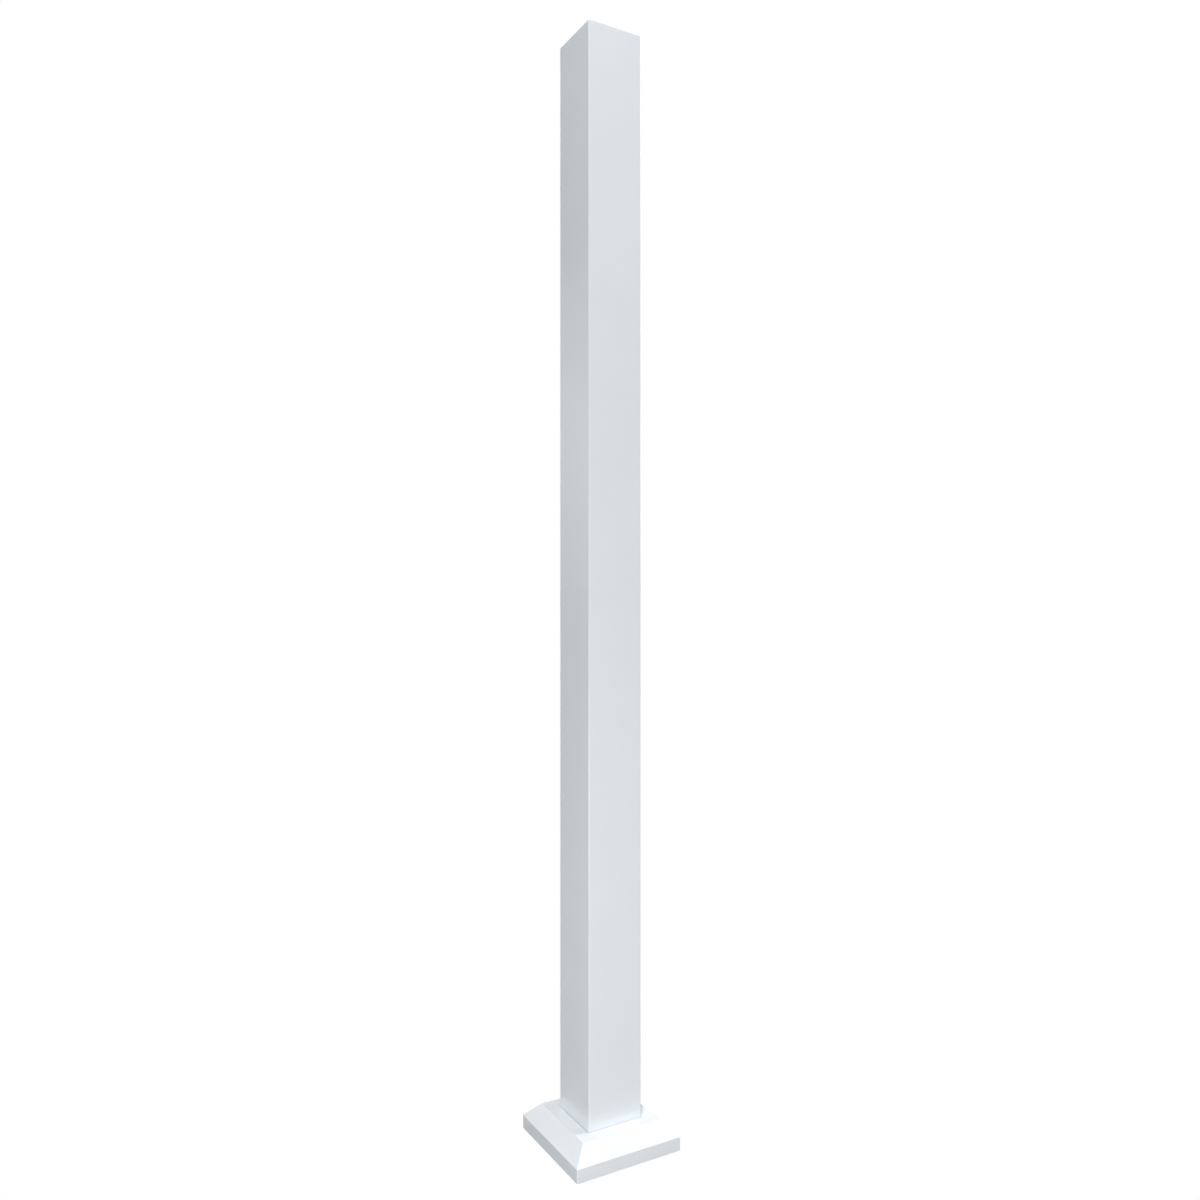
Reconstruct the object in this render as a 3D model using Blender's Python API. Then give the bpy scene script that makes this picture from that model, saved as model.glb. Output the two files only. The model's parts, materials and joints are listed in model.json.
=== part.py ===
"""Deck post: a square aluminium railing post welded to a foot plate, with a sloped base cover.

The post stands upright on the floor at z = 0, centred on the z axis, and its faces look along x and y.
The cover slides down the post and stands on the same floor round the foot plate, which it hides.
Both pieces are swept round the post: each is a list of section corners, given as the distance from
the axis to the flat side and the height, and every point of the section becomes one square level.
"""

import math
from collections import namedtuple

import bmesh
import bpy
from mathutils import Vector

# Post: square tube, cut off square at the top and left open
POST_HEIGHT = 1.060
POST_SIDE = 0.05715
POST_WALL = 0.002
POST_CORNER_RADIUS = 0.0008
POST_BORE_RADIUS = 0.0005
POST_END_BREAK = 0.0003

# Foot plate, one piece with the tube
PLATE_MARGIN = 0.022225
PLATE_THICKNESS = 0.0095
PLATE_CORNER_RADIUS = 0.006
PLATE_EDGE_BREAK = 0.0005
BOLT_HOLE_DIAMETER = 0.010

# Base cover: upright band, slope and flat ring, one thin shell
COVER_WALL = 0.002
PLATE_CLEARANCE = 0.0029
POST_CLEARANCE = 0.0005
BAND_OVER_PLATE = 0.0033
SLOPE_RISE = 0.0138
RING_WIDTH = 0.0132
COVER_EDGE_RADIUS = 0.0008
COVER_INNER_RADIUS = 0.0004
COVER_RIM_BREAK = 0.0003

# Fineness of the round corners
PLAN_STEPS = 6
SECTION_STEPS = 4
BREAK_STEPS = 2
HOLE_SIDES = 32
SMOOTH_ANGLE = math.radians(32)
MERGE_DISTANCE = 0.00001

# Places that follow from the sizes above
POST_HALF = POST_SIDE / 2
BORE_HALF = POST_HALF - POST_WALL
PLATE_HALF = POST_HALF + PLATE_MARGIN
BOLT_OFFSET = POST_HALF + PLATE_MARGIN / 2
COVER_HALF = PLATE_HALF + PLATE_CLEARANCE + COVER_WALL
COVER_HOLE_HALF = POST_HALF + POST_CLEARANCE
BAND_HEIGHT = PLATE_THICKNESS + BAND_OVER_PLATE
COVER_HEIGHT = BAND_HEIGHT + SLOPE_RISE
RING_HALF = POST_HALF + RING_WIDTH

# One corner of a section: half width, height, radius in the section, its steps and radius in plan
Corner = namedtuple("Corner", "half height radius steps plan_radius")


def remove_all_objects():
    """Empties the scene."""
    for obj in list(bpy.data.objects):
        bpy.data.objects.remove(obj, do_unlink=True)


def powder_coat(name, colour, roughness):
    """Gives a white powder-coat material."""
    material = bpy.data.materials.new(name)
    material.use_nodes = True
    shader = material.node_tree.nodes["Principled BSDF"]
    shader.inputs["Base Color"].default_value = (*colour, 1.0)
    shader.inputs["Roughness"].default_value = roughness
    shader.inputs["Metallic"].default_value = 0.0
    return material


def corner_arc(before, corner, after):
    """Gives the points that round one section corner between its two neighbours."""
    place = Vector((corner.half, corner.height))
    if corner.radius <= 0:
        return [place]
    to_before = (Vector((before.half, before.height)) - place).normalized()
    to_after = (Vector((after.half, after.height)) - place).normalized()
    half_angle = to_before.angle(to_after) / 2
    centre = place + (to_before + to_after).normalized() * corner.radius / math.sin(half_angle)
    reach = corner.radius / math.tan(half_angle)
    first = (place + to_before * reach - centre).normalized()
    last = (place + to_after * reach - centre).normalized()
    shares = [step / corner.steps for step in range(corner.steps + 1)]
    return [centre + first.slerp(last, share) * corner.radius for share in shares]


def section_levels(corners, closed_section):
    """Gives every level of a section as half width, plan radius and height, from first to last.

    The first and last corners of a closed section are neighbours. In any other section each of
    those two has the axis as its other neighbour, at its own height.
    """
    if closed_section:
        around = [corners[-1], *corners, corners[0]]
    else:
        around = [corners[0]._replace(half=0), *corners, corners[-1]._replace(half=0)]
    levels = []
    for before, corner, after in zip(around, around[1:], around[2:]):
        for point in corner_arc(before, corner, after):
            levels.append((point.x, corner.plan_radius, point.y))
    return levels


def level_places(half, radius, height):
    """Gives the points of one level, a square with round corners, counter-clockwise from above."""
    arc_centre = (half - radius) * math.sqrt(2)
    places = []
    for quarter in range(4):
        diagonal = math.pi * (quarter / 2 + 1 / 4)
        for step in range(PLAN_STEPS + 1):
            turn = math.pi / 2 * (quarter + step / PLAN_STEPS)
            x = arc_centre * math.cos(diagonal) + radius * math.cos(turn)
            y = arc_centre * math.sin(diagonal) + radius * math.sin(turn)
            places.append((x, y, height))
    return places


def edges_of_ring(bm, ring):
    """Gives the edges between neighbours of a ring of verts."""
    return [bm.edges.get(pair) or bm.edges.new(pair) for pair in zip(ring, ring[1:] + ring[:1])]


def extrude_to_level(bm, ring, places):
    """Extrudes a ring of verts, moves the new ring to the next level and gives it."""
    made = bmesh.ops.extrude_edge_only(bm, edges=edges_of_ring(bm, ring))["geom"]
    new_verts = [item for item in made if isinstance(item, bmesh.types.BMVert)]
    old_verts = set(ring)
    above = {}
    for vert in new_verts:
        for edge in vert.link_edges:
            if edge.other_vert(vert) in old_verts:
                above[edge.other_vert(vert)] = vert
    next_ring = [above[vert] for vert in ring]
    for vert, place in zip(next_ring, places):
        vert.co = place
    return next_ring


def swept_piece(name, corners, material, closed_section):
    """Sweeps a section round the post and adds the solid to the scene.

    A closed section ends where it began, which makes a frame that is open in the middle. Any other
    section is closed by a flat face at its first level and at its last.
    """
    levels = section_levels(corners, closed_section)
    if closed_section:
        levels.append(levels[0])
    bm = bmesh.new()
    ring = [bm.verts.new(place) for place in level_places(*levels[0])]
    first_edges = edges_of_ring(bm, ring)
    for level in levels[1:]:
        ring = extrude_to_level(bm, ring, level_places(*level))
    if closed_section:
        bmesh.ops.remove_doubles(bm, verts=bm.verts, dist=MERGE_DISTANCE)
    else:
        bmesh.ops.holes_fill(bm, edges=first_edges + edges_of_ring(bm, ring))
    bmesh.ops.recalc_face_normals(bm, faces=bm.faces)
    mesh = bpy.data.meshes.new(name)
    bm.to_mesh(mesh)
    bm.free()
    mesh.shade_smooth()
    mesh.set_sharp_from_angle(angle=SMOOTH_ANGLE)
    mesh.materials.append(material)
    obj = bpy.data.objects.new(name, mesh)
    bpy.context.scene.collection.objects.link(obj)
    return obj


def bolt_hole_cutter(name, x, y):
    """Adds a hidden cylinder that runs past both faces of the foot plate."""
    bm = bmesh.new()
    radius = BOLT_HOLE_DIAMETER / 2
    bmesh.ops.create_cone(bm, cap_ends=True, segments=HOLE_SIDES, radius1=radius, radius2=radius,
                          depth=2 * PLATE_THICKNESS)
    mesh = bpy.data.meshes.new(name)
    bm.to_mesh(mesh)
    bm.free()
    cutter = bpy.data.objects.new(name, mesh)
    cutter.location = (x, y, PLATE_THICKNESS / 2)
    cutter.hide_render = True
    cutter.display_type = "WIRE"
    bpy.context.scene.collection.objects.link(cutter)
    return cutter


def drill_bolt_holes(post):
    """Cuts one hole through each corner of the foot plate, midway between tube and edge."""
    for number, (side_x, side_y) in enumerate(((1, 1), (-1, 1), (-1, -1), (1, -1)), start=1):
        cutter = bolt_hole_cutter(f"bolt_hole_cutter_{number}", side_x * BOLT_OFFSET, side_y * BOLT_OFFSET)
        hole = post.modifiers.new(f"bolt_hole_{number}", "BOOLEAN")
        hole.operation = "DIFFERENCE"
        hole.solver = "EXACT"
        hole.object = cutter


def make_post(material):
    """Builds the post from the floor up its outside and down its open bore to the foot plate."""
    corners = [
        Corner(PLATE_HALF, 0, PLATE_EDGE_BREAK, BREAK_STEPS, PLATE_CORNER_RADIUS),
        Corner(PLATE_HALF, PLATE_THICKNESS, PLATE_EDGE_BREAK, BREAK_STEPS, PLATE_CORNER_RADIUS),
        Corner(POST_HALF, PLATE_THICKNESS, 0, 1, POST_CORNER_RADIUS),
        Corner(POST_HALF, POST_HEIGHT, POST_END_BREAK, BREAK_STEPS, POST_CORNER_RADIUS),
        Corner(BORE_HALF, POST_HEIGHT, POST_END_BREAK, BREAK_STEPS, POST_BORE_RADIUS),
        Corner(BORE_HALF, PLATE_THICKNESS, 0, 1, POST_BORE_RADIUS),
    ]
    post = swept_piece("post", corners, material, closed_section=False)
    drill_bolt_holes(post)
    return post


def make_base_cover(material):
    """Builds the base cover: a closed thin-walled section of band, slope and ring, open underneath."""
    slope_run = COVER_HALF - RING_HALF
    band_turn = math.atan2(slope_run, SLOPE_RISE)
    ring_turn = math.pi / 2 - band_turn
    inner_band_top = BAND_HEIGHT - COVER_WALL * math.tan(band_turn / 2)
    inner_ring_half = RING_HALF - COVER_WALL * math.tan(ring_turn / 2)
    inner_top = COVER_HEIGHT - COVER_WALL
    outer = COVER_EDGE_RADIUS
    inner = COVER_INNER_RADIUS
    rim = COVER_RIM_BREAK
    corners = [
        Corner(COVER_HALF, 0, rim, BREAK_STEPS, outer),
        Corner(COVER_HALF, BAND_HEIGHT, outer, SECTION_STEPS, outer),
        Corner(RING_HALF, COVER_HEIGHT, outer, SECTION_STEPS, outer),
        Corner(COVER_HOLE_HALF, COVER_HEIGHT, rim, BREAK_STEPS, outer),
        Corner(COVER_HOLE_HALF, inner_top, 0, 1, outer),
        Corner(inner_ring_half, inner_top, inner, BREAK_STEPS, inner),
        Corner(COVER_HALF - COVER_WALL, inner_band_top, inner, BREAK_STEPS, inner),
        Corner(COVER_HALF - COVER_WALL, 0, 0, 1, inner),
    ]
    return swept_piece("base_cover", corners, material, closed_section=True)


def main():
    """Builds the two pieces of the deck post."""
    remove_all_objects()
    make_post(powder_coat("post_powder_coat", (0.84, 0.86, 0.88), 0.42))
    make_base_cover(powder_coat("cover_powder_coat", (0.86, 0.88, 0.90), 0.40))


main()
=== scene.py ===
"""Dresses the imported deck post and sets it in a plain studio.

The post is a square aluminium railing post, white powder-coated, open at its cut top and welded to a
drilled foot plate, with a sloped base cover over the plate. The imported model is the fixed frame. Each of
its two nodes is replaced by a finished piece of the same size, and `Studio` adds floor, lights and camera.
All sizes are in metres, in the frame's own axes: the post stands on z = 0, centred on the z axis.

How far something lies from the z axis along x or along y, whichever is more, is called its reach, so a
square round the axis has one reach. A `Place` is a reach and a height.
"""

import json
import logging
import math
from collections.abc import Callable, Iterator
from contextlib import contextmanager
from dataclasses import dataclass
from enum import Enum

import bmesh
import bpy
from mathutils import Euler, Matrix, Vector

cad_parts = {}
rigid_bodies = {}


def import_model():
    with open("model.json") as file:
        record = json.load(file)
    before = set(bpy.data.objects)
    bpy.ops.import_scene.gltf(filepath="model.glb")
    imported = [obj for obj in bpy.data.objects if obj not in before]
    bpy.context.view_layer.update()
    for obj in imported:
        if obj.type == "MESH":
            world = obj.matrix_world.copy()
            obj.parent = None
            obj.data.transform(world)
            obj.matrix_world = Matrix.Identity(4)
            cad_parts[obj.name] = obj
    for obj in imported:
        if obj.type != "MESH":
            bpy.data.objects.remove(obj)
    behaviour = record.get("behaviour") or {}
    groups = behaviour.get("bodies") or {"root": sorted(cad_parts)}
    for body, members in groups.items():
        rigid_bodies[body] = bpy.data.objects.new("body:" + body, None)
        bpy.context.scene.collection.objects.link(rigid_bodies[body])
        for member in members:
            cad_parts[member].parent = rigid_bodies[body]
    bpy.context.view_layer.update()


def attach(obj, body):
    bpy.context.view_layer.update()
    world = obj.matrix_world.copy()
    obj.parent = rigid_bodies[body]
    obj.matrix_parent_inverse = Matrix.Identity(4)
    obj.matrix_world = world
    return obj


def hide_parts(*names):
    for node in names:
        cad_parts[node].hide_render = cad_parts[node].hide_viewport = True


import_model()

MILLIMETRES = 1000
log = logging.getLogger("deck_post")

# Places nearer to each other than this are one place
NEAR = 0.00002

# A face counts as level if its normal's upright part is over this
LEVEL_NORMAL = 0.99

# Share of a division by which an edge may miss a crest
CREST_NEAR = 0.2

# Sharper edges than this stay sharp in the shading
SHARP_ANGLE = math.radians(50)

# Neutral setting of the weighted normals, on their scale from 1 to 100
NORMAL_WEIGHT = 50

Wanted = Callable[[bmesh.types.BMEdge | bmesh.types.BMFace], bool]
Place = tuple[float, float]


class Slot(Enum):
    """The record's material slots."""

    POST = "post_powder_coat"
    COVER = "cover_powder_coat"


class Kind(Enum):
    """What an edit-mode selection holds."""

    EDGES = "EDGE"
    FACES = "FACE"


class Measure(Enum):
    """How the width of a rounding is measured: square to the edge, or along its neighbours."""

    SQUARE = "OFFSET"
    ALONG_NEIGHBOURS = "ABSOLUTE"


# Picking edges and faces by their place


def reach(place: Vector) -> float:
    """Gives a place's distance from the z axis along x or y, whichever is more."""
    return max(abs(place.x), abs(place.y))


def edge_middle(edge: bmesh.types.BMEdge) -> Vector:
    """Gives the middle of an edge."""
    return (edge.verts[0].co + edge.verts[1].co) / 2


@dataclass(frozen=True)
class EdgesAt:
    """Picks the edges whose middles lie at one of some places.

    Attributes:
        places: The reaches and heights.
        shortest: Least length of an edge.
    """

    places: tuple[Place, ...]
    shortest: float = 0.0

    def __call__(self, edge: bmesh.types.BMEdge) -> bool:
        """Says whether an edge is wanted.

        Args:
            edge: The edge.

        Returns:
            True if it is to be picked.
        """
        middle = edge_middle(edge)
        found = (reach(middle), middle.z)
        at_place = any(math.dist(found, place) < NEAR for place in self.places)
        return at_place and edge.calc_length() > self.shortest


@dataclass(frozen=True)
class EdgesBetween:
    """Picks the edges that lie wholly between two heights.

    Attributes:
        lowest: Least height of an edge's ends.
        highest: Most height of an edge's ends.
        climbing: Whether edges on one level are left out.
    """

    lowest: float
    highest: float
    climbing: bool = False

    def __call__(self, edge: bmesh.types.BMEdge) -> bool:
        """Says whether an edge is wanted.

        Args:
            edge: The edge.

        Returns:
            True if it is to be picked.
        """
        low, high = sorted(vert.co.z for vert in edge.verts)
        climbs = high - low > NEAR
        return low > self.lowest - NEAR and high < self.highest + NEAR and (climbs or not self.climbing)


@dataclass(frozen=True)
class Crests:
    """Picks, among some edges round a square, those on every few divisions of its sides.

    Attributes:
        among: Picks the edges that are looked at.
        divisions: Number of divisions from the middle of a side to its end.
        spacing: Number of divisions from one crest to the next.
        end: Length of a side that isn't divided, at its end.
    """

    among: Wanted
    divisions: int
    spacing: int
    end: float

    def __call__(self, edge: bmesh.types.BMEdge) -> bool:
        """Says whether an edge is wanted.

        Args:
            edge: The edge.

        Returns:
            True if it is to be picked.
        """
        middle = edge_middle(edge)
        along = min(abs(middle.x), abs(middle.y))
        place = along / (reach(middle) - self.end) * self.divisions
        division = round(place)
        on_crest = abs(place - division) < CREST_NEAR and division % self.spacing == 0
        return on_crest and division < self.divisions and self.among(edge)


@dataclass(frozen=True)
class Rim:
    """Picks the edges round square rims, where a level face meets faces that aren't level.

    Attributes:
        heights: Heights of the rims.
        nearest: Least reach of an edge's middle.
        furthest: Most reach of an edge's middle.
    """

    heights: tuple[float, ...]
    nearest: float
    furthest: float

    def __call__(self, edge: bmesh.types.BMEdge) -> bool:
        """Says whether an edge is wanted.

        Args:
            edge: The edge.

        Returns:
            True if it is to be picked.
        """
        level_faces = [abs(face.normal.z) > LEVEL_NORMAL for face in edge.link_faces]
        turns = any(level_faces) and not all(level_faces)
        on_rim = any(all(abs(vert.co.z - height) < NEAR for vert in edge.verts) for height in self.heights)
        return turns and on_rim and self.nearest - NEAR < reach(edge_middle(edge)) < self.furthest + NEAR


@dataclass(frozen=True)
class LevelFaces:
    """Picks the level faces at some heights that lie wholly within one reach.

    Attributes:
        furthest: Most reach of a face's corners.
        heights: The heights.
    """

    furthest: float
    heights: tuple[float, ...]

    def __call__(self, face: bmesh.types.BMFace) -> bool:
        """Says whether a face is wanted."""
        level = any(all(abs(vert.co.z - height) < NEAR for vert in face.verts) for height in self.heights)
        return level and all(reach(vert.co) < self.furthest + NEAR for vert in face.verts)


@dataclass(frozen=True)
class FacesInside:
    """Picks the faces that lie wholly within one reach and over one height, such as those of a bore.

    Attributes:
        furthest: Most reach of a face's corners.
        lowest: Least height of a face's corners.
    """

    furthest: float
    lowest: float

    def __call__(self, face: bmesh.types.BMFace) -> bool:
        """Says whether a face is wanted."""
        inside = all(reach(vert.co) < self.furthest + NEAR for vert in face.verts)
        return inside and all(vert.co.z > self.lowest - NEAR for vert in face.verts)


# Working on a mesh


def deselect_all() -> None:
    """Leaves nothing selected and nothing active."""
    for obj in bpy.context.view_layer.objects:
        obj.select_set(False)
    bpy.context.view_layer.objects.active = None


def activate(obj: bpy.types.Object) -> None:
    """Makes one object the only selected one and the active one.

    Args:
        obj: The object.
    """
    deselect_all()
    obj.select_set(True)
    bpy.context.view_layer.objects.active = obj


@contextmanager
def picked(obj: bpy.types.Object, kind: Kind, wanted: Wanted) -> Iterator[None]:
    """Opens an object in edit mode with the edges or faces that pass a test selected.

    Args:
        obj: The object to open. It is back in object mode afterwards.
        kind: Whether edges or faces are tested.
        wanted: Says of one edge or face whether it is picked.

    Yields:
        Nothing, once, while the object is open.
    """
    activate(obj)
    bpy.ops.object.mode_set(mode="EDIT")
    bpy.ops.mesh.select_mode(type=kind.value)
    bpy.ops.mesh.select_all(action="DESELECT")
    bm = bmesh.from_edit_mesh(obj.data)
    bm.normal_update()
    items = [item for item in (bm.edges if kind is Kind.EDGES else bm.faces) if wanted(item)]
    if not items:
        raise ValueError(f"{obj.name}: nothing was picked")
    for item in items:
        item.select_set(True)
    bmesh.update_edit_mesh(obj.data)
    yield
    bpy.ops.object.mode_set(mode="OBJECT")


def block(name: str, half: float, height: float) -> bpy.types.Object:
    """Adds a square block on the floor, round the z axis.

    Args:
        name: The new object's name.
        half: Half of its side.
        height: Its height.

    Returns:
        The block, with its place in its mesh.
    """
    deselect_all()
    sides = (2 * half, 2 * half, height)
    bpy.ops.mesh.primitive_cube_add(size=1, location=(0, 0, height / 2), scale=sides)
    obj = bpy.context.active_object
    obj.name = obj.data.name = name
    bpy.ops.object.transform_apply(location=True, rotation=True, scale=True)
    return obj


def raise_faces(obj: bpy.types.Object, wanted: Wanted, rise: float, spread: float = 1.0) -> None:
    """Extrudes faces along z and widens or narrows them in plan.

    Args:
        obj: The object to change.
        wanted: Picks the faces.
        rise: How far they move up, or down if negative.
        spread: Factor by which the moved faces grow in x and y, round the z axis.
    """
    with picked(obj, Kind.FACES, wanted):
        bpy.ops.mesh.extrude_region_move(TRANSFORM_OT_translate={"value": (0, 0, rise)})
        bpy.ops.transform.resize(value=(spread, spread, 1), center_override=(0, 0, 0))


def inset_faces(obj: bpy.types.Object, wanted: Wanted, width: float) -> None:
    """Insets the picked faces by an even width."""
    with picked(obj, Kind.FACES, wanted):
        bpy.ops.mesh.inset(thickness=width, depth=0, use_even_offset=True)


def round_edges(
    obj: bpy.types.Object, wanted: Wanted, width: float, steps: int, measure: Measure = Measure.SQUARE
) -> None:
    """Rounds edges.

    Args:
        obj: The object to change.
        wanted: Picks the edges.
        width: How far from an edge its rounding begins.
        steps: Number of faces across the rounding.
        measure: How the width is measured.
    """
    with picked(obj, Kind.EDGES, wanted):
        bpy.ops.mesh.bevel(
            offset_type=measure.value, offset=width, segments=steps, affect="EDGES", clamp_overlap=False
        )


def divide_edges(obj: bpy.types.Object, wanted: Wanted, cuts: int) -> None:
    """Divides the picked edges evenly, and the faces between them."""
    with picked(obj, Kind.EDGES, wanted):
        bpy.ops.mesh.subdivide(number_cuts=cuts, smoothness=0)


def swell_edges(obj: bpy.types.Object, wanted: Wanted, height: float) -> None:
    """Moves the picked edges outwards, along the surface's normals."""
    with picked(obj, Kind.EDGES, wanted):
        bpy.ops.transform.shrink_fatten(value=height)


def apply_modifier(obj: bpy.types.Object, kind: str, **settings: object) -> None:
    """Adds a modifier and applies it.

    Args:
        obj: The object to change.
        kind: Blender's name for the modifier type.
        **settings: Values for the modifier's own properties.
    """
    activate(obj)
    modifier = obj.modifiers.new(kind.lower(), kind)
    for name, value in settings.items():
        setattr(modifier, name, value)
    bpy.ops.object.modifier_apply(modifier=modifier.name)


def shade_piece(obj: bpy.types.Object) -> None:
    """Shades a piece smooth, with true flats between its rounded edges.

    Args:
        obj: The piece.
    """
    activate(obj)
    bpy.ops.object.shade_smooth_by_angle(angle=SHARP_ANGLE)
    apply_modifier(obj, "WEIGHTED_NORMAL", mode="FACE_AREA", weight=NORMAL_WEIGHT, keep_sharp=True)


def give_finishes(obj: bpy.types.Object, *finishes: bpy.types.Material) -> None:
    """Gives a piece its materials, the first one on every face.

    Args:
        obj: The piece.
        *finishes: The materials, in the order of their slots.
    """
    obj.data.materials.clear()
    for finish in finishes:
        obj.data.materials.append(finish)


def join_frame(obj: bpy.types.Object, node: str) -> None:
    """Puts a finished piece in the frame.

    Args:
        obj: The piece.
        node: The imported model's node that it stands for.
    """
    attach(obj, "root")
    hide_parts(node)


# Finishes

Inputs = dict[str | int, object]
Colour = tuple[float, float, float]
Range = tuple[float, float]

WHOLE: Range = (0, 1)
WHITE = (1, 1, 1, 1)

# Between these limits lies nearly all of a noise pattern
NOISE_CORE: Range = (0.3, 0.7)


@dataclass(frozen=True)
class Graph:
    """A node tree with short calls that add and join its nodes.

    Attributes:
        tree: The node tree that is filled.
    """

    tree: bpy.types.NodeTree

    def feed(self, node: bpy.types.Node, inputs: Inputs) -> None:
        """Sets a node's sockets.

        Args:
            node: The node.
            inputs: A value, or another node's output to join, for each socket.
        """
        for socket, value in inputs.items():
            if isinstance(value, bpy.types.NodeSocket):
                self.tree.links.new(value, node.inputs[socket])
            else:
                node.inputs[socket].default_value = value

    def add(self, kind: str, inputs: Inputs | None = None, **settings: object) -> bpy.types.Node:
        """Adds a node.

        Args:
            kind: Blender's name for the node type.
            inputs: A value, or another node's output to join, for each socket.
            **settings: Values for the node's own properties.

        Returns:
            The new node.
        """
        node = self.tree.nodes.new(kind)
        for name, value in settings.items():
            setattr(node, name, value)
        self.feed(node, inputs or {})
        return node

    def maths(self, operation: str, first: object, second: object) -> bpy.types.NodeSocket:
        """Adds a Math node and gives its result."""
        return self.add("ShaderNodeMath", {0: first, 1: second}, operation=operation).outputs[0]

    def spread(self, value: bpy.types.NodeSocket, old: Range, new: Range) -> bpy.types.NodeSocket:
        """Adds a clamped Map Range node from one pair of limits to another and gives its result."""
        limits = dict(zip(("From Min", "From Max", "To Min", "To Max"), old + new))
        return self.add("ShaderNodeMapRange", {"Value": value, **limits}).outputs["Result"]

    def noise(self, place: bpy.types.NodeSocket, per_metre: object, detail: float) -> bpy.types.NodeSocket:
        """Adds a noise pattern, its finer waves half as strong, and gives its value, from 0 to 1."""
        inputs = {"Vector": place, "Scale": per_metre, "Detail": detail, "Roughness": 0.5}
        return self.add("ShaderNodeTexNoise", inputs).outputs["Fac"]

    def mix_colours(self, share: bpy.types.NodeSocket, first: Colour, second: Colour) -> bpy.types.NodeSocket:
        """Adds a mix that is the first colour at 0 and the second at 1, and gives its result.

        A Mix node's colours are its sockets 6 and 7, and their result is its output 2.
        """
        inputs = {0: share, 6: (*first, 1), 7: (*second, 1)}
        return self.add("ShaderNodeMix", inputs, data_type="RGBA").outputs[2]

    def mix_values(self, share: bpy.types.NodeSocket, first: object, second: object) -> bpy.types.NodeSocket:
        """Adds a mix that is the first value at 0 and the second at 1, and gives its result.

        A Mix node's values are its sockets 2 and 3, and their result is its output 0.
        """
        return self.add("ShaderNodeMix", {0: share, 2: first, 3: second}, data_type="FLOAT").outputs[0]

    def bump(self, height: bpy.types.NodeSocket) -> bpy.types.NodeSocket:
        """Adds a bump for a height in metres and gives its normal."""
        inputs = {"Strength": 1.0, "Distance": 1.0, "Height": height}
        return self.add("ShaderNodeBump", inputs).outputs["Normal"]


def new_group(name: str, inputs: dict[str, float], outputs: tuple[str, ...]) -> bpy.types.NodeTree:
    """Starts a shader node group with number sockets.

    Args:
        name: The group's name.
        inputs: Default value of each input.
        outputs: Names of the outputs.

    Returns:
        The group's node tree, empty but for its sockets.
    """
    tree = bpy.data.node_groups.new(name, "ShaderNodeTree")
    for label, value in inputs.items():
        socket = tree.interface.new_socket(label, in_out="INPUT", socket_type="NodeSocketFloat")
        socket.default_value = value
    for label in outputs:
        tree.interface.new_socket(label, in_out="OUTPUT", socket_type="NodeSocketFloat")
    return tree


@dataclass(frozen=True)
class SprayedSurface:
    """The surface of a baked powder coat.

    Attributes:
        peel_scale: Orange peel bumps per metre, unless a finish says otherwise.
        wave_detail: Detail of the broad waves of the orange peel.
        wave_share: Share of the broad waves in its height.
        fine_scale: Number of fine waves to a broad one.
        fine_detail: Detail of the fine waves.
        fine_share: Share of the fine waves in its height.
        cloud_scale: Clouds per metre.
        cloud_detail: Detail of the clouds.
        gloss_scale: Number of changes of sheen to a cloud.
        gloss_detail: Detail of the changes of sheen.
    """

    peel_scale: float = 420.0
    wave_detail: float = 1.5
    wave_share: float = 0.75
    fine_scale: float = 3.1
    fine_detail: float = 1.0
    fine_share: float = 0.25
    cloud_scale: float = 14.0
    cloud_detail: float = 2.0
    gloss_scale: float = 4.3
    gloss_detail: float = 3.0

    def build_group(self) -> bpy.types.NodeTree:
        """Builds the surface's node group.

        Returns:
            A group whose inputs are the number of orange peel bumps and of clouds per metre. Its outputs,
            all from 0 to 1, are Peel, the height of the orange peel, Cloud, the faint change of tone, and
            Gloss, the change of sheen.
        """
        scales = {"Peel Scale": self.peel_scale, "Cloud Scale": self.cloud_scale}
        tree = new_group("sprayed_surface", scales, ("Peel", "Cloud", "Gloss"))
        graph = Graph(tree)
        given = graph.add("NodeGroupInput").outputs
        place = graph.add("ShaderNodeTexCoord").outputs["Object"]
        fine_scale = graph.maths("MULTIPLY", given["Peel Scale"], self.fine_scale)
        gloss_scale = graph.maths("MULTIPLY", given["Cloud Scale"], self.gloss_scale)
        waves = graph.noise(place, given["Peel Scale"], self.wave_detail)
        fine = graph.noise(place, fine_scale, self.fine_detail)
        cloud = graph.noise(place, given["Cloud Scale"], self.cloud_detail)
        gloss = graph.noise(place, gloss_scale, self.gloss_detail)
        wave_height = graph.maths("MULTIPLY", waves, self.wave_share)
        fine_height = graph.maths("MULTIPLY", fine, self.fine_share)
        outputs = {
            "Peel": graph.maths("ADD", wave_height, fine_height),
            "Cloud": graph.spread(cloud, NOISE_CORE, WHOLE),
            "Gloss": graph.spread(gloss, NOISE_CORE, WHOLE),
        }
        graph.add("NodeGroupOutput", outputs)
        return tree


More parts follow.
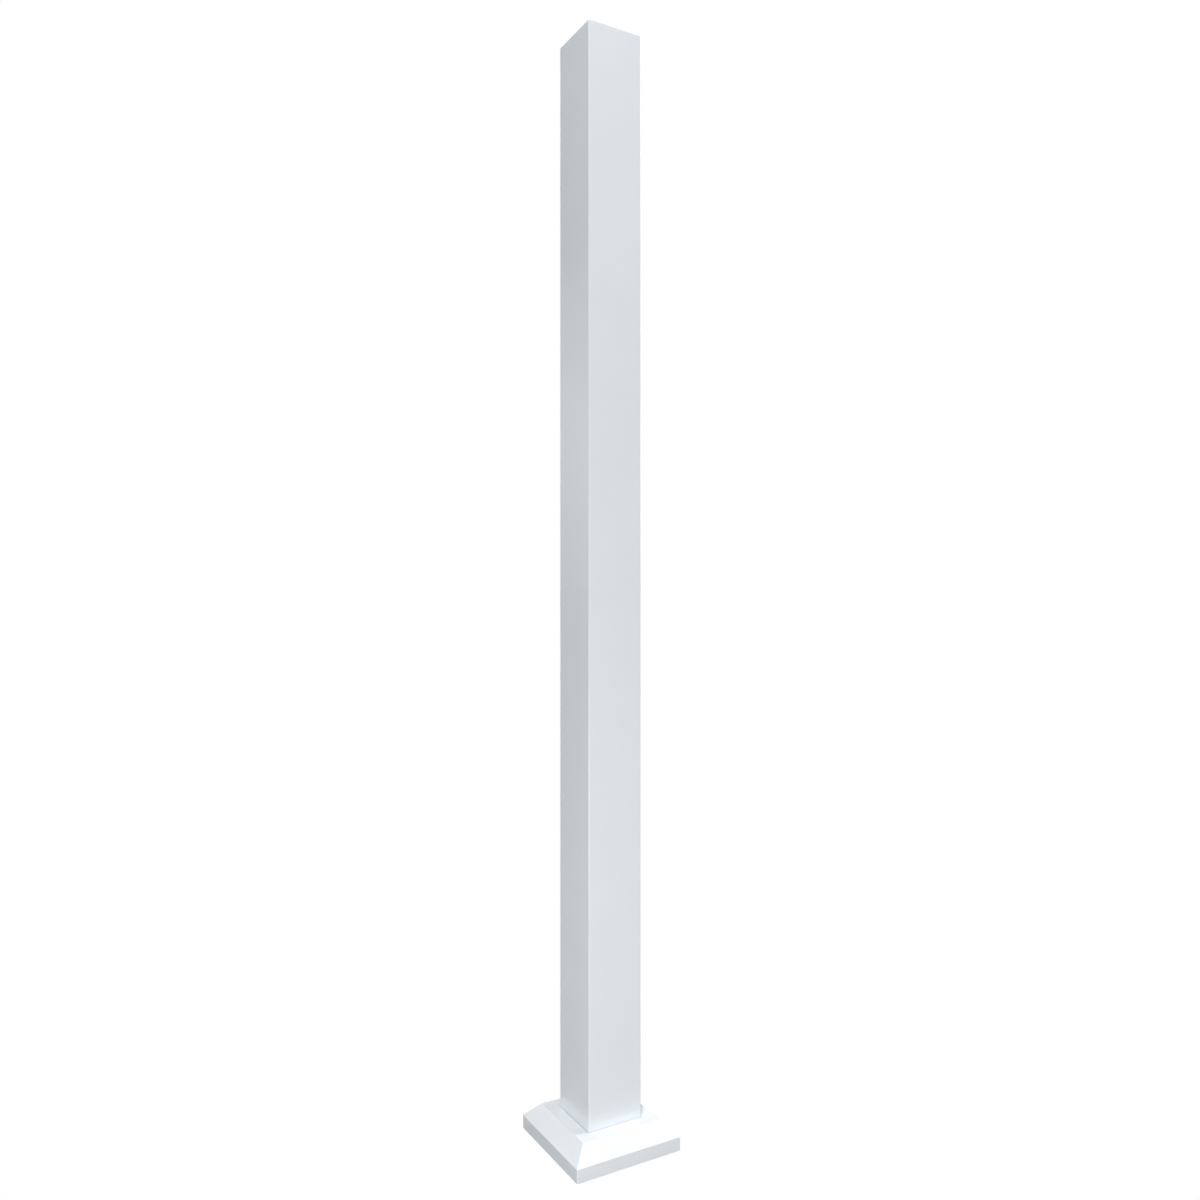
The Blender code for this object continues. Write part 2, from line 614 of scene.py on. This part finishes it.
@dataclass(frozen=True)
class DrawnLines:
    """The die lines that run along an extruded tube.

    Attributes:
        across: Lines per metre across the tube.
        along: Changes per metre along the tube.
        fine_detail: Detail of the fine lines.
        fine_share: Share of the fine lines in the height.
        broad_scale: Number of broad lines to a fine one.
        broad_detail: Detail of the broad lines.
        broad_share: Share of the broad lines in the height.
    """

    across: float = 900.0
    along: float = 1.2
    fine_detail: float = 2.0
    fine_share: float = 0.6
    broad_scale: float = 0.12
    broad_detail: float = 1.0
    broad_share: float = 0.4

    def build_group(self) -> bpy.types.NodeTree:
        """Builds the lines' node group.

        Returns:
            A group whose inputs are the number of lines per metre across the tube and of changes per
            metre along it. Its output Lines is their height, from 0 to 1.
        """
        tree = new_group("drawn_lines", {"Across": self.across, "Along": self.along}, ("Lines",))
        graph = Graph(tree)
        given = graph.add("NodeGroupInput").outputs
        place = graph.add("ShaderNodeTexCoord").outputs["Object"]
        per_metre = {"X": given["Across"], "Y": given["Across"], "Z": given["Along"]}
        stretch = graph.add("ShaderNodeCombineXYZ", per_metre).outputs["Vector"]
        stretched = graph.add("ShaderNodeVectorMath", {0: place, 1: stretch}, operation="MULTIPLY")
        drawn = stretched.outputs["Vector"]
        fine = graph.noise(drawn, 1.0, self.fine_detail)
        broad = graph.noise(drawn, self.broad_scale, self.broad_detail)
        fine_height = graph.maths("MULTIPLY", fine, self.fine_share)
        broad_height = graph.maths("MULTIPLY", broad, self.broad_share)
        graph.add("NodeGroupOutput", {"Lines": graph.maths("ADD", fine_height, broad_height)})
        return tree


@dataclass(frozen=True)
class SurfaceGroups:
    """The node groups that the finishes share.

    Attributes:
        sprayed: The surface of a powder coat.
        drawn: The die lines of an extrusion.
    """

    sprayed: bpy.types.NodeTree
    drawn: bpy.types.NodeTree


@dataclass(frozen=True)
class PowderCoat:
    """A satin white powder coat.

    Attributes:
        name: The material's name.
        light: Colour where the coat is brightest.
        shade: Colour where the coat is faintly darker.
        gloss: Lowest and highest roughness.
        peel_scale: Orange peel bumps per metre.
        peel_height: Height of the orange peel.
        line_height: Height of the die lines under the coat, none on a casting.
        refraction: Refractive index of the coat.
    """

    name: str
    light: Colour
    shade: Colour
    gloss: Range
    peel_scale: float
    peel_height: float
    line_height: float
    refraction: float = 1.5

    def make(self, groups: SurfaceGroups) -> bpy.types.Material:
        """Builds the material.

        Args:
            groups: The node groups that the finishes share.

        Returns:
            The finished material.
        """
        material = bpy.data.materials.new(self.name)
        material.use_nodes = True
        graph = Graph(material.node_tree)
        coat = graph.add("ShaderNodeGroup", node_tree=groups.sprayed)
        graph.feed(coat, {"Peel Scale": self.peel_scale})
        relief = graph.maths("MULTIPLY", coat.outputs["Peel"], self.peel_height)
        if self.line_height > 0:
            lines = graph.add("ShaderNodeGroup", node_tree=groups.drawn).outputs["Lines"]
            relief = graph.maths("ADD", relief, graph.maths("MULTIPLY", lines, self.line_height))
        sockets = {
            "Base Color": graph.mix_colours(coat.outputs["Cloud"], self.shade, self.light),
            "Roughness": graph.spread(coat.outputs["Gloss"], WHOLE, self.gloss),
            "Normal": graph.bump(relief),
            "IOR": self.refraction,
        }
        graph.feed(material.node_tree.nodes["Principled BSDF"], sockets)
        return material


@dataclass(frozen=True)
class BoreSurface:
    """Bare extruded aluminium inside the tube, with the coat's overspray fading in towards the open end.

    Attributes:
        name: The material's name.
        metal: Colour of the bare aluminium.
        coat: Colour of the overspray.
        metal_gloss: Lowest and highest roughness of the metal.
        coat_roughness: Roughness of the dry overspray.
        sprayed_from: Height at which the first overspray shows.
        sprayed_full: Height above which the coat is whole.
        speckle: How much the orange peel adds to the overspray's share, which makes its edge speckled.
        speckle_limits: Shares with the speckle at which the overspray starts and is whole.
        line_height: Height of the die lines.
    """

    name: str
    metal: Colour
    coat: Colour
    metal_gloss: Range
    coat_roughness: float
    sprayed_from: float
    sprayed_full: float
    speckle: float
    speckle_limits: Range
    line_height: float

    def make(self, groups: SurfaceGroups) -> bpy.types.Material:
        """Builds the material.

        Args:
            groups: The node groups that the finishes share.

        Returns:
            The finished material.
        """
        material = bpy.data.materials.new(self.name)
        material.use_nodes = True
        graph = Graph(material.node_tree)
        coat = graph.add("ShaderNodeGroup", node_tree=groups.sprayed).outputs
        lines = graph.add("ShaderNodeGroup", node_tree=groups.drawn).outputs["Lines"]
        place = graph.add("ShaderNodeTexCoord").outputs["Object"]
        height = graph.add("ShaderNodeSeparateXYZ", {"Vector": place}).outputs["Z"]
        share = graph.spread(height, (self.sprayed_from, self.sprayed_full), WHOLE)
        speckled = graph.maths("ADD", share, graph.maths("MULTIPLY", coat["Peel"], self.speckle))
        sprayed = graph.spread(speckled, self.speckle_limits, WHOLE)
        metal_roughness = graph.spread(lines, NOISE_CORE, self.metal_gloss)
        sockets = {
            "Base Color": graph.mix_colours(sprayed, self.metal, self.coat),
            "Metallic": graph.maths("SUBTRACT", 1.0, sprayed),
            "Roughness": graph.mix_values(sprayed, metal_roughness, self.coat_roughness),
            "Normal": graph.bump(graph.maths("MULTIPLY", lines, self.line_height)),
        }
        graph.feed(material.node_tree.nodes["Principled BSDF"], sockets)
        return material


POST_COAT = PowderCoat(
    name="post_powder_coat",
    light=(0.810, 0.851, 0.887),
    shade=(0.794, 0.835, 0.871),
    gloss=(0.17, 0.23),
    peel_scale=420.0,
    peel_height=0.000006,
    line_height=0.000003,
)
COVER_COAT = PowderCoat(
    name="cover_powder_coat",
    light=(0.815, 0.857, 0.893),
    shade=(0.799, 0.840, 0.876),
    gloss=(0.20, 0.27),
    peel_scale=500.0,
    peel_height=0.000006,
    line_height=0.0,
)
BORE_SURFACE = BoreSurface(
    name="bore_aluminium",
    metal=(0.62, 0.625, 0.635),
    coat=(0.74, 0.775, 0.805),
    metal_gloss=(0.28, 0.42),
    coat_roughness=0.5,
    sprayed_from=0.985,
    sprayed_full=1.045,
    speckle=0.9,
    speckle_limits=(0.55, 1.1),
    line_height=0.000012,
)


# The two pieces


@dataclass(frozen=True)
class Post:
    """The tube, the foot plate, the weld between them and the bolt holes, one welded piece.

    Attributes:
        height: Height of the cut top over the floor.
        side: Outer side of the square tube.
        wall: Thickness of its wall.
        corner_radius: Radius of its outer corners.
        bore_radius: Radius of its inner corners.
        end_break: Width of the deburred edges at the cut top.
        plate_margin: How far the foot plate stands out past the tube.
        plate_thickness: Thickness of the foot plate.
        plate_corner_radius: Radius of the plate's corners in plan.
        plate_edge_break: Width of the plate's broken edges.
        corner_steps: Number of faces across an outer corner of the tube.
        bore_corner_steps: Number of faces across a corner of the bore.
        plate_corner_steps: Number of faces across a corner of the plate.
        break_steps: Number of faces across a broken edge.
        bolt_hole_diameter: Diameter of the four holes.
        bolt_hole_sides: Number of sides of each round hole.
        weld_leg: Leg of the fillet weld round the tube's foot.
        weld_swell: How far the bead swells out from a straight fillet.
        weld_crown: How much further its middle row swells.
        weld_rows: Number of rows of points between the bead's toe and its top.
        ripple_pitch: Distance between two crests of the bead.
        ripple_divisions: Number of divisions of the bead from one crest to the next.
        ripple_height: Height of the crests.
    """

    height: float = 1.060
    side: float = 0.05715
    wall: float = 0.002
    corner_radius: float = 0.0008
    bore_radius: float = 0.0005
    end_break: float = 0.0003
    plate_margin: float = 0.022225
    plate_thickness: float = 0.0095
    plate_corner_radius: float = 0.006
    plate_edge_break: float = 0.0005
    corner_steps: int = 4
    bore_corner_steps: int = 3
    plate_corner_steps: int = 8
    break_steps: int = 2
    bolt_hole_diameter: float = 0.010
    bolt_hole_sides: int = 48
    weld_leg: float = 0.0032
    weld_swell: float = 0.00032
    weld_crown: float = 0.00016
    weld_rows: int = 3
    ripple_pitch: float = 0.002
    ripple_divisions: int = 4
    ripple_height: float = 0.00012

    @property
    def half(self) -> float:
        """Gives half of the tube's outer side."""
        return self.side / 2

    @property
    def bore_half(self) -> float:
        """Gives half of the tube's inner side."""
        return self.half - self.wall

    @property
    def plate_half(self) -> float:
        """Gives half of the foot plate's side."""
        return self.half + self.plate_margin

    @property
    def toe_half(self) -> float:
        """Gives half of the square that the weld's toe runs round."""
        return self.half + self.weld_leg

    @property
    def weld_top(self) -> float:
        """Gives the height at which the weld ends on the tube."""
        return self.plate_thickness + self.weld_leg

    @property
    def tube_foot(self) -> float:
        """Gives the height of the level that keeps the weld's shape off the rest of the tube."""
        return self.weld_top + self.weld_leg

    def build(self) -> bpy.types.Object:
        """Builds the whole piece.

        Returns:
            The finished mesh object, still without its finishes.
        """
        obj = block("post_tube_and_plate", self.plate_half, self.plate_thickness)
        self.raise_tube(obj)
        self.round_corners(obj)
        self.lay_weld(obj)
        self.drill_bolt_holes(obj)
        shade_piece(obj)
        return obj

    def raise_tube(self, obj: bpy.types.Object) -> None:
        """Raises weld and tube off the foot plate and opens the bore down to the plate.

        Args:
            obj: The plain plate.
        """
        plate_top = self.plate_thickness
        inset_faces(obj, LevelFaces(self.plate_half, (plate_top,)), self.plate_margin - self.weld_leg)
        raise_faces(obj, LevelFaces(self.toe_half, (plate_top,)), self.weld_leg, self.half / self.toe_half)
        raise_faces(obj, LevelFaces(self.half, (self.weld_top,)), self.tube_foot - self.weld_top)
        raise_faces(obj, LevelFaces(self.half, (self.tube_foot,)), self.height - self.tube_foot)
        inset_faces(obj, LevelFaces(self.half, (self.height,)), self.wall)
        raise_faces(obj, LevelFaces(self.bore_half, (self.height,)), plate_top - self.height)

    def round_corners(self, obj: bpy.types.Object) -> None:
        """Rounds the upright corners, then the edges that run round plate and cut top.

        Args:
            obj: The plate with its tube.
        """
        plate_corners = EdgesAt(((self.plate_half, self.plate_thickness / 2),))
        weld_corner = ((self.half + self.toe_half) / 2, (self.plate_thickness + self.weld_top) / 2)
        foot_corner = (self.half, (self.weld_top + self.tube_foot) / 2)
        tube_corner = (self.half, (self.tube_foot + self.height) / 2)
        bore_corners = EdgesAt(((self.bore_half, (self.plate_thickness + self.height) / 2),))
        outside = EdgesAt((weld_corner, foot_corner, tube_corner))
        round_edges(obj, plate_corners, self.plate_corner_radius, self.plate_corner_steps)
        round_edges(obj, outside, self.corner_radius, self.corner_steps, Measure.ALONG_NEIGHBOURS)
        round_edges(obj, bore_corners, self.bore_radius, self.bore_corner_steps)
        plate_inside = self.plate_half - self.plate_corner_radius
        plate_rims = Rim((0, self.plate_thickness), plate_inside, self.plate_half)
        round_edges(obj, plate_rims, self.plate_edge_break, self.break_steps)
        round_edges(obj, Rim((self.height,), 0, self.half), self.end_break, self.break_steps)

    def lay_weld(self, obj: bpy.types.Object) -> None:
        """Divides the sloped strip round the tube's foot and swells it into a rippled bead.

        Args:
            obj: The post with its rounded corners.
        """
        divisions = self.ripple_divisions * round(self.half / self.ripple_pitch)
        strip_edges = EdgesAt(((self.toe_half, self.plate_thickness), (self.half, self.weld_top)), self.half)
        rungs = EdgesBetween(self.plate_thickness, self.weld_top + self.corner_radius, climbing=True)
        divide_edges(obj, strip_edges, 2 * divisions - 1)
        divide_edges(obj, rungs, self.weld_rows)
        half_row = self.weld_leg / (self.weld_rows + 1) / 2
        middle = (self.plate_thickness + self.weld_top) / 2
        rows = EdgesBetween(self.plate_thickness + half_row, self.weld_top - half_row)
        crests = Crests(rows, divisions, self.ripple_divisions, self.corner_radius)
        swell_edges(obj, crests, self.ripple_height)
        swell_edges(obj, rows, self.weld_swell)
        swell_edges(obj, EdgesBetween(middle - half_row, middle + half_row), self.weld_crown)

    def drill_bolt_holes(self, obj: bpy.types.Object) -> None:
        """Cuts the four bolt holes, midway between the tube and the plate's edges.

        Args:
            obj: The post with its weld.
        """
        place = self.half + self.plate_margin / 2
        for side_x, side_y in ((1, 1), (-1, 1), (-1, -1), (1, -1)):
            deselect_all()
            bpy.ops.mesh.primitive_cylinder_add(
                vertices=self.bolt_hole_sides,
                radius=self.bolt_hole_diameter / 2,
                depth=2 * self.plate_thickness,
                location=(side_x * place, side_y * place, self.plate_thickness / 2),
            )
            drill = bpy.context.active_object
            bpy.ops.object.transform_apply(location=True, rotation=True, scale=True)
            apply_modifier(obj, "BOOLEAN", operation="DIFFERENCE", solver="EXACT", object=drill)
            bpy.data.objects.remove(drill, do_unlink=True)

    def dress(self, obj: bpy.types.Object, coat: bpy.types.Material, bore: bpy.types.Material) -> None:
        """Gives the piece its finishes and its place in the frame.

        Args:
            obj: The finished mesh object.
            coat: Finish of everything outside.
            bore: Finish of the faces inside the tube.
        """
        give_finishes(obj, coat, bore)
        with picked(obj, Kind.FACES, FacesInside(self.bore_half, self.plate_thickness)):
            obj.active_material_index = 1
            bpy.ops.object.material_slot_assign()
        join_frame(obj, "post")


@dataclass(frozen=True)
class ShellSide:
    """The outer or the inner side of the cover's shell: an upright band under a slope, up to a level ring.

    Attributes:
        half: Half of the band's side.
        band_top: Height at which the band turns into the slope.
        ring_half: Half of the side of the ring, where the slope ends.
        top: Height of the ring.
    """

    half: float
    band_top: float
    ring_half: float
    top: float

    @property
    def band_corner(self) -> Place:
        """Gives reach and height of the middle of the band's upright corners."""
        return self.half, self.band_top / 2

    @property
    def hip(self) -> Place:
        """Gives reach and height of the middle of the slope's hips."""
        return (self.half + self.ring_half) / 2, (self.band_top + self.top) / 2

    @property
    def bends(self) -> tuple[Place, ...]:
        """Gives reach and height of the level bends at both ends of the slope."""
        return (self.half, self.band_top), (self.ring_half, self.top)


@dataclass(frozen=True)
class BaseCover:
    """The sloped cover: upright band, slope and flat ring, one thin shell open underneath.

    Attributes:
        outside: The shell's outer side.
        hole_half: Half of the square hole round the post.
        wall: Thickness of the shell.
        edge_radius: Radius of the outer edges and of the hole's corners.
        inner_radius: Radius of the edges inside the shell.
        rim_break: Width of the broken edges at floor and hole.
        edge_steps: Number of faces across a rounded edge.
        break_steps: Number of faces across a broken edge.
    """

    outside: ShellSide = ShellSide(half=0.0557, band_top=0.0128, ring_half=0.041775, top=0.0266)
    hole_half: float = 0.029075
    wall: float = 0.002
    edge_radius: float = 0.0008
    inner_radius: float = 0.0004
    rim_break: float = 0.0003
    edge_steps: int = 4
    break_steps: int = 2

    @property
    def inside(self) -> ShellSide:
        """Works out the shell's inner side.

        Returns:
            The side that is one wall away from the outer one everywhere.
        """
        outside = self.outside
        band_turn = math.atan2(outside.half - outside.ring_half, outside.top - outside.band_top)
        ring_turn = math.pi / 2 - band_turn
        return ShellSide(
            half=outside.half - self.wall,
            band_top=outside.band_top - self.wall * math.tan(band_turn / 2),
            ring_half=outside.ring_half - self.wall * math.tan(ring_turn / 2),
            top=outside.top - self.wall,
        )

    def build(self) -> bpy.types.Object:
        """Builds the shell.

        Returns:
            The finished mesh object, still without its finish.
        """
        obj = block("cover_shell", self.outside.half, self.outside.band_top)
        self.shape_ring(obj, self.outside)
        self.hollow_out(obj)
        self.weigh_bends(obj)
        self.round_shell(obj)
        shade_piece(obj)
        return obj

    def shape_ring(self, obj: bpy.types.Object, side: ShellSide) -> None:
        """Raises the slope from the top of a side's band, and marks the hole in the ring.

        Args:
            obj: The cover, with a level face at the top of the side's band.
            side: The outer or the inner side.
        """
        band_top = LevelFaces(side.half, (side.band_top,))
        raise_faces(obj, band_top, side.top - side.band_top, side.ring_half / side.half)
        inset_faces(obj, LevelFaces(side.ring_half, (side.top,)), side.ring_half - self.hole_half)

    def hollow_out(self, obj: bpy.types.Object) -> None:
        """Sinks the underside into the block along the inner side and opens the hole for the post.

        Args:
            obj: The solid cover, the hole marked in its ring.
        """
        inset_faces(obj, LevelFaces(self.outside.half, (0,)), self.wall)
        raise_faces(obj, LevelFaces(self.inside.half, (0,)), self.inside.band_top)
        self.shape_ring(obj, self.inside)
        with picked(obj, Kind.FACES, LevelFaces(self.hole_half, (self.inside.top, self.outside.top))):
            bpy.ops.mesh.bridge_edge_loops()

    def weigh_bends(self, obj: bpy.types.Object) -> None:
        """Gives each edge that is to be rounded its bevel weight.

        An edge's weight is the distance at which its rounding starts, as a part of the outer edge radius.
        It is the whole radius at an upright corner. A hip is rounded to the same radius in plan, and its
        distance is measured square to it. A bend of half a right angle needs only a little of its radius.

        Args:
            obj: The shell, with sharp edges.
        """
        hip_slant = math.sqrt(2 / 3)
        bend_angle = math.radians(45)
        blunt_bend = math.tan(bend_angle / 2)
        hole_corner = (self.hole_half, (self.inside.top + self.outside.top) / 2)
        self.weigh_edges(obj, (self.outside.band_corner, hole_corner), 1)
        self.weigh_edges(obj, (self.outside.hip,), hip_slant)
        self.weigh_edges(obj, self.outside.bends, blunt_bend)
        share = self.inner_radius / self.edge_radius
        self.weigh_edges(obj, (self.inside.band_corner,), share)
        self.weigh_edges(obj, (self.inside.hip,), share * hip_slant)
        self.weigh_edges(obj, self.inside.bends, share * blunt_bend)

    def weigh_edges(self, obj: bpy.types.Object, places: tuple[Place, ...], weight: float) -> None:
        """Sets the bevel weight of the edges whose middles lie at the given places."""
        with picked(obj, Kind.EDGES, EdgesAt(places)):
            bpy.ops.transform.edge_bevelweight(value=weight)

    def round_shell(self, obj: bpy.types.Object) -> None:
        """Rounds the weighed edges, then breaks the rims at floor and hole.

        Args:
            obj: The shell, with its bevel weights.
        """
        apply_modifier(
            obj,
            "BEVEL",
            width=self.edge_radius,
            segments=self.edge_steps,
            limit_method="WEIGHT",
            offset_type="OFFSET",
            use_clamp_overlap=False,
        )
        side = self.outside
        foot_rim = Rim((0,), side.half - self.edge_radius, side.half)
        round_edges(obj, foot_rim, self.rim_break, self.break_steps)
        round_edges(obj, Rim((side.top,), 0, self.hole_half), self.rim_break, self.break_steps)

    def dress(self, obj: bpy.types.Object, coat: bpy.types.Material) -> None:
        """Gives the shell its finish and its place in the frame."""
        give_finishes(obj, coat)
        join_frame(obj, "base_cover")


# The studio


@dataclass(frozen=True)
class Softbox:
    """A rectangular light that no camera sees.

    Attributes:
        name: The light's name.
        place: Its centre.
        aim: The point it faces.
        size: Its width and height.
        watts: Its power.
    """

    name: str
    place: tuple[float, float, float]
    aim: tuple[float, float, float]
    size: tuple[float, float]
    watts: float

    def hang(self) -> bpy.types.Object:
        """Adds the light to the scene.

        Returns:
            The light's object.
        """
        data = bpy.data.lights.new(self.name, "AREA")
        data.shape = "RECTANGLE"
        data.size, data.size_y = self.size
        data.energy = self.watts
        lamp = bpy.data.objects.new(self.name, data)
        lamp.location = self.place
        towards = Vector(self.aim) - Vector(self.place)
        lamp.rotation_euler = towards.to_track_quat("-Z", "Y").to_euler()
        lamp.visible_camera = False
        bpy.context.scene.collection.objects.link(lamp)
        return lamp


@dataclass(frozen=True)
class PhotoCamera:
    """The photograph's camera, from a fit to fifteen corners of the object with its level and turn held.

    Attributes:
        place: Its position.
        turn: Its angle round z from looking along +y, clockwise from above, in degrees.
        tilt: Its angle up from looking straight down, in degrees.
        lens: Focal length for the sensor's width, in millimetres.
        sensor: Width of the square frame, in millimetres.
        nearest: Nearest distance it sees.
        furthest: Furthest distance it sees.
    """

    place: tuple[float, float, float] = (-0.48412, -0.83853, 0.5210)
    turn: float = 30.0
    tilt: float = 90.0
    lens: float = 30.04
    sensor: float = 36.0
    nearest: float = 0.01
    furthest: float = 100.0

    def stand(self) -> bpy.types.Object:
        """Adds the camera and makes it the scene's own.

        Returns:
            The camera's object.
        """
        data = bpy.data.cameras.new("photo_camera")
        data.lens = self.lens
        data.sensor_width = self.sensor
        data.clip_start = self.nearest
        data.clip_end = self.furthest
        camera = bpy.data.objects.new("photo_camera", data)
        camera.location = self.place
        camera.rotation_euler = Euler((math.radians(self.tilt), 0, -math.radians(self.turn)))
        bpy.context.scene.collection.objects.link(camera)
        bpy.context.scene.camera = camera
        return camera


@dataclass(frozen=True)
class Studio:
    """A white floor under a white surround, lit by softboxes.

    Attributes:
        floor_size: Side of the floor.
        floor_drop: How far the floor lies under the foot plate.
        floor_bounce: Reflectance of the floor, as light on the object.
        surround: Brightness of the white surround, as light on the object.
        softboxes: The lights.
    """

    floor_size: float = 30.0
    floor_drop: float = 0.0001
    floor_bounce: float = 0.26
    surround: float = 0.02
    softboxes: tuple[Softbox, ...] = (
        Softbox("key_softbox", (-1.07, -1.19, 2.28), (0, 0, 0.5), (0.4, 0.4), 43.6),
        Softbox("right_softbox", (1.78, -0.48, 2.04), (0, 0, 0.5), (0.8, 0.8), 36.9),
        Softbox("front_strip", (-0.35, -0.75, 0.14), (0, 0, 0.05), (0.8, 0.26), 2.58),
        Softbox("left_strip", (-1.0, -0.35, 0.16), (0, 0, 0.05), (1.0, 0.3), 2.35),
        Softbox("back_panel", (-0.736, 1.302, 0.909), (0, 0, 0.67), (0.5, 0.34), 0.23),
        Softbox("tall_back_panel", (-0.741, 1.311, 0.911), (0, 0, 0.67), (0.5, 0.75), 0.46),
        Softbox("back_softbox", (2.3, 0.7, 1.2), (0, 0, 0.5), (1.2, 1.2), 11.7),
        Softbox("high_back_softbox", (0.2, 1.3, 2.9), (0, 0, 0.5), (1.0, 0.6), 22.4),
    )

    def set_up(self) -> None:
        """Lays the floor, whitens the surround, hangs the lights and shows true tones."""
        self.lay_floor()
        self.light_surround()
        for softbox in self.softboxes:
            softbox.hang()
        view = bpy.context.scene.view_settings
        view.view_transform = "Standard"
        view.look = "None"

    def lay_floor(self) -> None:
        """Adds the floor, pure white to the camera and a dull diffuse floor to every other ray."""
        deselect_all()
        bpy.ops.mesh.primitive_plane_add(size=self.floor_size, location=(0, 0, -self.floor_drop))
        floor = bpy.context.active_object
        floor.name = "studio_floor"
        material = bpy.data.materials.new("studio_white")
        material.use_nodes = True
        graph = Graph(material.node_tree)
        graph.tree.nodes.clear()
        white = graph.add("ShaderNodeEmission", {"Strength": 1.0}).outputs[0]
        bounce = graph.add("ShaderNodeBsdfDiffuse", {"Color": (*[self.floor_bounce] * 3, 1)}).outputs[0]
        to_camera = graph.add("ShaderNodeLightPath").outputs["Is Camera Ray"]
        mixed = graph.add("ShaderNodeMixShader", {0: to_camera, 1: bounce, 2: white}).outputs[0]
        graph.add("ShaderNodeOutputMaterial", {"Surface": mixed})
        floor.data.materials.append(material)

    def light_surround(self) -> None:
        """Makes the world white to the camera and a dim even light to the object."""
        world = bpy.data.worlds.new("studio_surround")
        world.use_nodes = True
        graph = Graph(world.node_tree)
        graph.tree.nodes.clear()
        white = graph.add("ShaderNodeBackground", {"Color": WHITE, "Strength": 1.0}).outputs[0]
        dim = graph.add("ShaderNodeBackground", {"Color": WHITE, "Strength": self.surround}).outputs[0]
        to_camera = graph.add("ShaderNodeLightPath").outputs["Is Camera Ray"]
        mixed = graph.add("ShaderNodeMixShader", {0: to_camera, 1: dim, 2: white}).outputs[0]
        graph.add("ShaderNodeOutputWorld", {"Surface": mixed})
        bpy.context.scene.world = world


def report_piece(obj: bpy.types.Object) -> None:
    """Logs a piece's size and number of triangles.

    Args:
        obj: The piece.
    """
    obj.data.calc_loop_triangles()
    sides = " x ".join(f"{side * MILLIMETRES:.2f}" for side in obj.dimensions)
    log.info("%s: %s mm, %d triangles", obj.name, sides, len(obj.data.loop_triangles))


def main() -> None:
    """Builds the two pieces and the studio, in order."""
    logging.basicConfig(level=logging.INFO, format="%(name)s: %(message)s")
    groups = SurfaceGroups(SprayedSurface().build_group(), DrawnLines().build_group())
    post = Post()
    tube_and_plate = post.build()
    post.dress(tube_and_plate, POST_COAT.make(groups), BORE_SURFACE.make(groups))
    report_piece(tube_and_plate)
    cover = BaseCover()
    shell = cover.build()
    cover.dress(shell, COVER_COAT.make(groups))
    report_piece(shell)
    Studio().set_up()
    PhotoCamera().stand()


if __name__ == "__main__":
    main()
